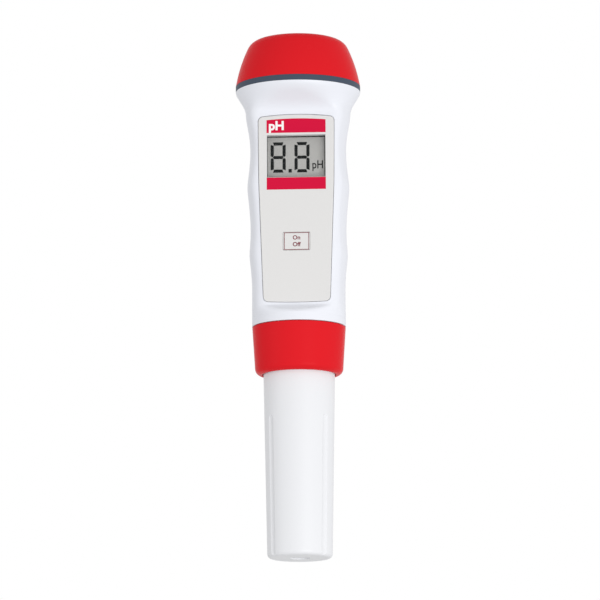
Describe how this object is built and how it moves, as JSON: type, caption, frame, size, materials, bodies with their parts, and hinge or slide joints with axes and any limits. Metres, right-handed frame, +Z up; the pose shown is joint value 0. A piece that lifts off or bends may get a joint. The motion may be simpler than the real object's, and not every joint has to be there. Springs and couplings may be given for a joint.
{
  "type": "pH meter pen",
  "caption": "Pocket pH meter: wavy grip with flat display front, red screw cap on top, red collar, and white protective cap over its electrode.",
  "frame": {"origin": "middle of the flat end of the protective cap, on which the pen stands", "axes": "+Z up along the pen's axis to the red top cap; the display panel faces -Y"},
  "size_m": [0.0384, 0.0383, 0.1613],
  "materials": {
    "white_plastic": "semi-gloss moulded ABS",
    "red_plastic": "semi-gloss moulded ABS",
    "slate_rubber": "dark slate moulded rubber",
    "panel_plastic": "fine matt panel with printed bands",
    "clear_lens": "clear polished acrylic",
    "display_cell": "grey liquid crystal cell",
    "black_plastic": "fine matt",
    "conductive_rubber": "layered elastomer",
    "circuit_board": "solder resist",
    "chip_resin": "moulded resin",
    "trimmer_blue": "moulded",
    "brass": "plated",
    "steel": "plain",
    "cell_steel": "bright nickel",
    "tray_plastic": "fine matt",
    "sensor_plastic": "smooth",
    "bulb_glass": "thin blown glass",
    "silver": "chlorided silver",
    "ceramic": "porous",
    "seal_rubber": "moulded",
    "sponge_foam": "open-cell foam"
  },
  "bodies": {
    "housing": {"housing": "white_plastic", "front_panel": "panel_plastic", "window_lens": "clear_lens", "display_glass": "display_cell", "display_frame": "black_plastic", "contact_strips": "conductive_rubber", "main_board": "circuit_board", "tact_switch": "black_plastic", "controller_chip": "chip_resin", "amplifier_chip": "chip_resin", "trimmer_body": "trimmer_blue", "board_screws": "steel", "inner_chassis": "black_plastic", "battery_tray": "tray_plastic", "battery_cell_1": "cell_steel", "battery_cell_2": "cell_steel", "battery_cell_3": "cell_steel", "battery_cell_4": "cell_steel", "lower_contact_leaf": "steel", "upper_contact_leaf": "steel", "connector_block": "black_plastic"},
    "key": {"on_off_key": "panel_plastic", "tact_plunger": "black_plastic"},
    "trimmer": {"trimmer_rotor": "brass"},
    "gasket": {"cap_gasket": "slate_rubber"},
    "top_cap": {"top_cap": "red_plastic"},
    "electrode": {"sensor_body": "sensor_plastic", "glass_electrode": "bulb_glass", "silver_wire": "silver", "reference_wire": "silver", "reference_junction": "ceramic", "thermistor_pin": "steel", "contact_pins": "brass", "sensor_o_ring": "seal_rubber", "cap_o_ring": "seal_rubber"},
    "collar": {"lock_collar": "red_plastic"},
    "storage_cap": {"protective_cap": "white_plastic", "storage_sponge": "sponge_foam"}
  },
  "joints": [
    {"name": "key_press", "type": "slide", "parent": "housing", "child": "key", "axis": [0, 1, 0], "range_m": [0, 0.00035], "stiffness_N_per_m": 400, "springref_m": -0.002},
    {"name": "trimmer_turn", "type": "hinge", "parent": "housing", "child": "trimmer", "pos_m": [0.0094, -0.0019, 0.133], "axis": [0, 0, 1], "range_deg": [-135, 135]},
    {"name": "cap_rise", "type": "slide", "parent": "housing", "child": "gasket", "axis": [0, 0, 1], "range_m": [0, 0.0041]},
    {"name": "cap_turn", "type": "hinge", "parent": "gasket", "child": "top_cap", "pos_m": [0, 0, 0.15], "axis": [0, 0, 1], "range_deg": [0, 720]},
    {"name": "electrode_release", "type": "slide", "parent": "housing", "child": "electrode", "axis": [0, 0, -1], "range_m": [0, 0.0031]},
    {"name": "collar_turn", "type": "hinge", "parent": "electrode", "child": "collar", "pos_m": [0, 0, 0.064], "axis": [0, 0, -1], "range_deg": [0, 540]},
    {"name": "cap_pull", "type": "slide", "parent": "electrode", "child": "storage_cap", "axis": [0, 0, -1], "range_m": [0, 0.05]}
  ],
  "couplings": [
    {"joint": "cap_rise", "follows": "cap_turn", "m_per_rad": 0.00031831},
    {"joint": "electrode_release", "follows": "collar_turn", "m_per_rad": 0.00031831}
  ]
}
